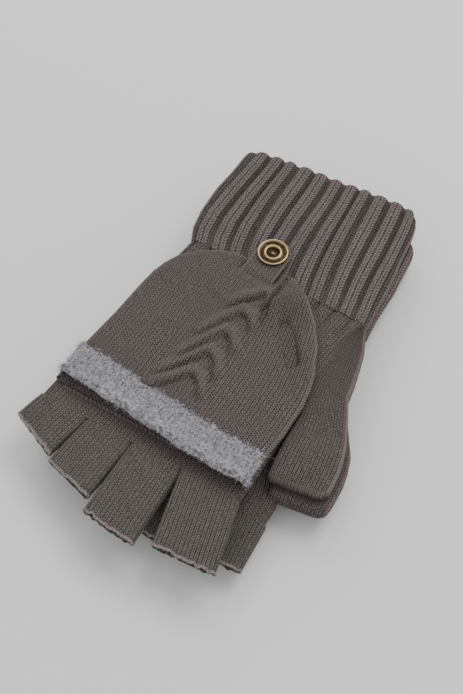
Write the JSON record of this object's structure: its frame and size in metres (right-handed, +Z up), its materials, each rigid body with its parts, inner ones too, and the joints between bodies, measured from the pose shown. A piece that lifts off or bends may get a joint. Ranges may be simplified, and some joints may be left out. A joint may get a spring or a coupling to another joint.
{
  "type": "convertible flip-top mittens",
  "caption": "Pair of knitted half-finger mittens laid palm to palm, each with a ribbed cuff, a thumb, and a flip-over pouch flap edged in mohair and held by a ring snap.",
  "frame": {"origin": "middle of the pair's box, on the surface the pair lies on", "axes": "+Z up, from the left mitten up to the right one; +Y from the cuffs towards the fingers; the thumbs are on the -X side"},
  "size_m": [0.1428, 0.2074, 0.0298],
  "materials": {
    "taupe_knit": "fine stockinette knit",
    "rib_knit": "deep two by two rib knit",
    "seam_yarn": "sewn yarn",
    "tab_knit": "dense knit",
    "mohair": "fuzzy brushed mohair",
    "antique_brass": "antiqued, darker in the grooves"
  },
  "bodies": {
    "left_hand_body": {"left_hand": "taupe_knit", "left_cuff": "rib_knit", "left_knuckle_seam": "seam_yarn", "left_finger_index": "taupe_knit", "left_finger_middle": "taupe_knit", "left_finger_ring": "taupe_knit", "left_finger_pinky": "taupe_knit", "left_snap_stud": "antique_brass", "left_snap_back_ring": "antique_brass"},
    "left_thumb_body": {"left_thumb": "taupe_knit"},
    "left_flap_body": {"left_flap_under_panel": "taupe_knit", "left_flap_side_seam": "seam_yarn"},
    "left_cover_body": {"left_flap_cover_panel": "taupe_knit", "left_mohair_band": "mohair"},
    "left_tab_body": {"left_snap_tab": "tab_knit", "left_snap_cap_ring": "antique_brass", "left_snap_socket": "antique_brass"},
    "right_hand_body": {"right_hand": "taupe_knit", "right_cuff": "rib_knit", "right_knuckle_seam": "seam_yarn", "right_finger_index": "taupe_knit", "right_finger_middle": "taupe_knit", "right_finger_ring": "taupe_knit", "right_finger_pinky": "taupe_knit", "right_snap_stud": "antique_brass", "right_snap_back_ring": "antique_brass"},
    "right_thumb_body": {"right_thumb": "taupe_knit"},
    "right_flap_body": {"right_flap_under_panel": "taupe_knit", "right_flap_side_seam": "seam_yarn"},
    "right_cover_body": {"right_flap_cover_panel": "taupe_knit", "right_mohair_band": "mohair"},
    "right_tab_body": {"right_snap_tab": "tab_knit", "right_snap_cap_ring": "antique_brass", "right_snap_socket": "antique_brass"}
  },
  "joints": [
    {"name": "left_flap_flip", "type": "hinge", "parent": "left_hand_body", "child": "left_flap_body", "pos_m": [0.01224, 0.05234, 0.005], "axis": [1, 0, 0], "range_deg": [0, 180], "deforming": ["left_flap_cover_panel", "left_mohair_band", "left_flap_side_seam"]},
    {"name": "left_flap_open", "type": "slide", "parent": "left_flap_body", "child": "left_cover_body", "axis": [0, 0, -1], "range_m": [0, 0.0048]},
    {"name": "left_tab_lift", "type": "hinge", "parent": "left_flap_body", "child": "left_tab_body", "pos_m": [0.01374, -0.04456, 0.00208], "axis": [1, 0, 0], "range_deg": [0, 60]},
    {"name": "left_thumb_swing", "type": "hinge", "parent": "left_hand_body", "child": "left_thumb_body", "pos_m": [-0.05016, 0.00534, 0.0095], "axis": [0, 0, 1], "range_deg": [0, 30]},
    {"name": "right_lift_off", "type": "slide", "parent": "left_hand_body", "child": "right_hand_body", "axis": [0, 0, 1], "range_m": [0, 0.12]},
    {"name": "right_flap_flip", "type": "hinge", "parent": "right_hand_body", "child": "right_flap_body", "pos_m": [0.01774, 0.05334, 0.0248], "axis": [-1, 0, 0], "range_deg": [0, 180], "deforming": ["right_flap_cover_panel", "right_mohair_band", "right_flap_side_seam"]},
    {"name": "right_flap_open", "type": "slide", "parent": "right_flap_body", "child": "right_cover_body", "axis": [0, 0, 1], "range_m": [0, 0.0048]},
    {"name": "right_tab_lift", "type": "hinge", "parent": "right_flap_body", "child": "right_tab_body", "pos_m": [0.01924, -0.04356, 0.02772], "axis": [-1, 0, 0], "range_deg": [0, 60]},
    {"name": "right_thumb_swing", "type": "hinge", "parent": "right_hand_body", "child": "right_thumb_body", "pos_m": [-0.04466, 0.00634, 0.0203], "axis": [0, 0, 1], "range_deg": [0, 30]}
  ],
  "couplings": [
    {"joint": "left_flap_open", "follows": "left_flap_flip", "m_per_rad": 0.0014961},
    {"joint": "right_flap_open", "follows": "right_flap_flip", "m_per_rad": 0.0014961}
  ]
}
